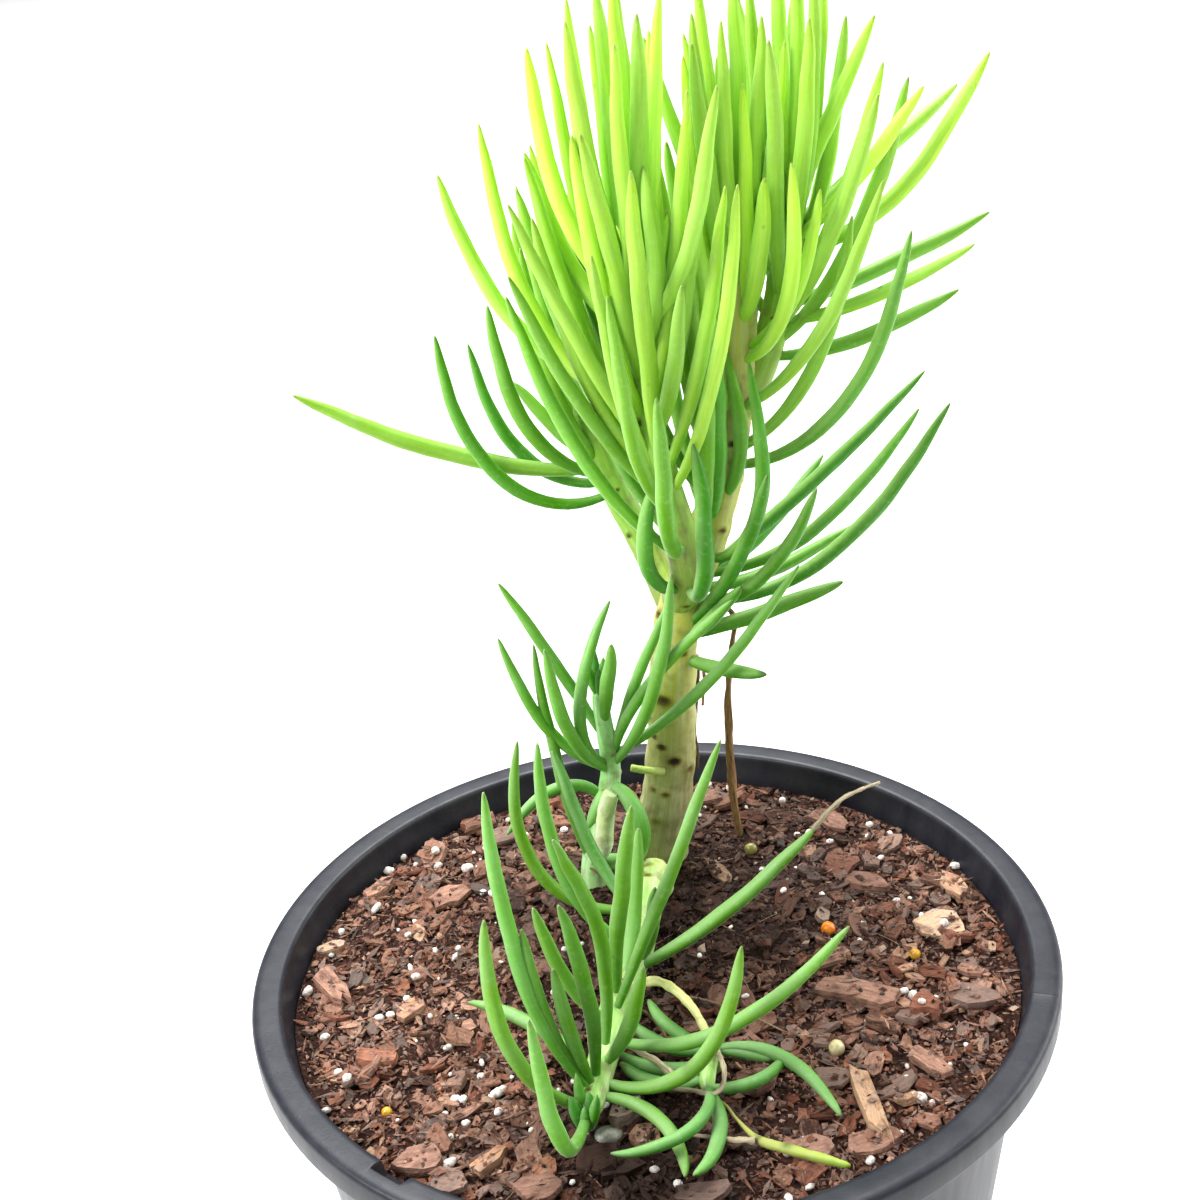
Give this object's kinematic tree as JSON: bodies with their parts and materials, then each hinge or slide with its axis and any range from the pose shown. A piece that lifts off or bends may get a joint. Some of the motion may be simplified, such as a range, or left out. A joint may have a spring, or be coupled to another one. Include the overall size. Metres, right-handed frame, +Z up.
{
  "type": "potted succulent",
  "caption": "Chalk sticks, a succulent with upright finger-shaped leaves on branching stems, in a round black nursery pot filled with bark potting mix",
  "frame": {"origin": "centre of the pot's foot ring, on the surface that the pot stands on", "axes": "+Z up, +Y away from the picture's viewer, +X to the viewer's right"},
  "size_m": [0.2044, 0.2044, 0.4261],
  "materials": {
    "pot_plastic": "black moulded polypropylene, semi-gloss",
    "potting_mix": "composted bark, rough and matte",
    "trunk_skin": "olive stem skin with leaf scars",
    "crown_leaf": "waxy lime green leaf",
    "shoot_leaf": "waxy mid-green leaf with bluish bloom",
    "runner_skin": "pale yellow stalk",
    "dry_root": "dry brown root"
  },
  "bodies": {
    "root": {"pot": "pot_plastic", "potting_mix": "potting_mix", "trunk": "trunk_skin", "crown_main_stem": "crown_leaf", "crown_left_stem": "crown_leaf", "crown_right_stem": "crown_leaf", "crown_back_stem": "crown_leaf", "side_shoot": "shoot_leaf", "front_shoot": "shoot_leaf", "low_shoot": "shoot_leaf", "runner": "runner_skin", "aerial_root_long": "dry_root", "aerial_root_short": "dry_root"}
  },
  "joints": []
}
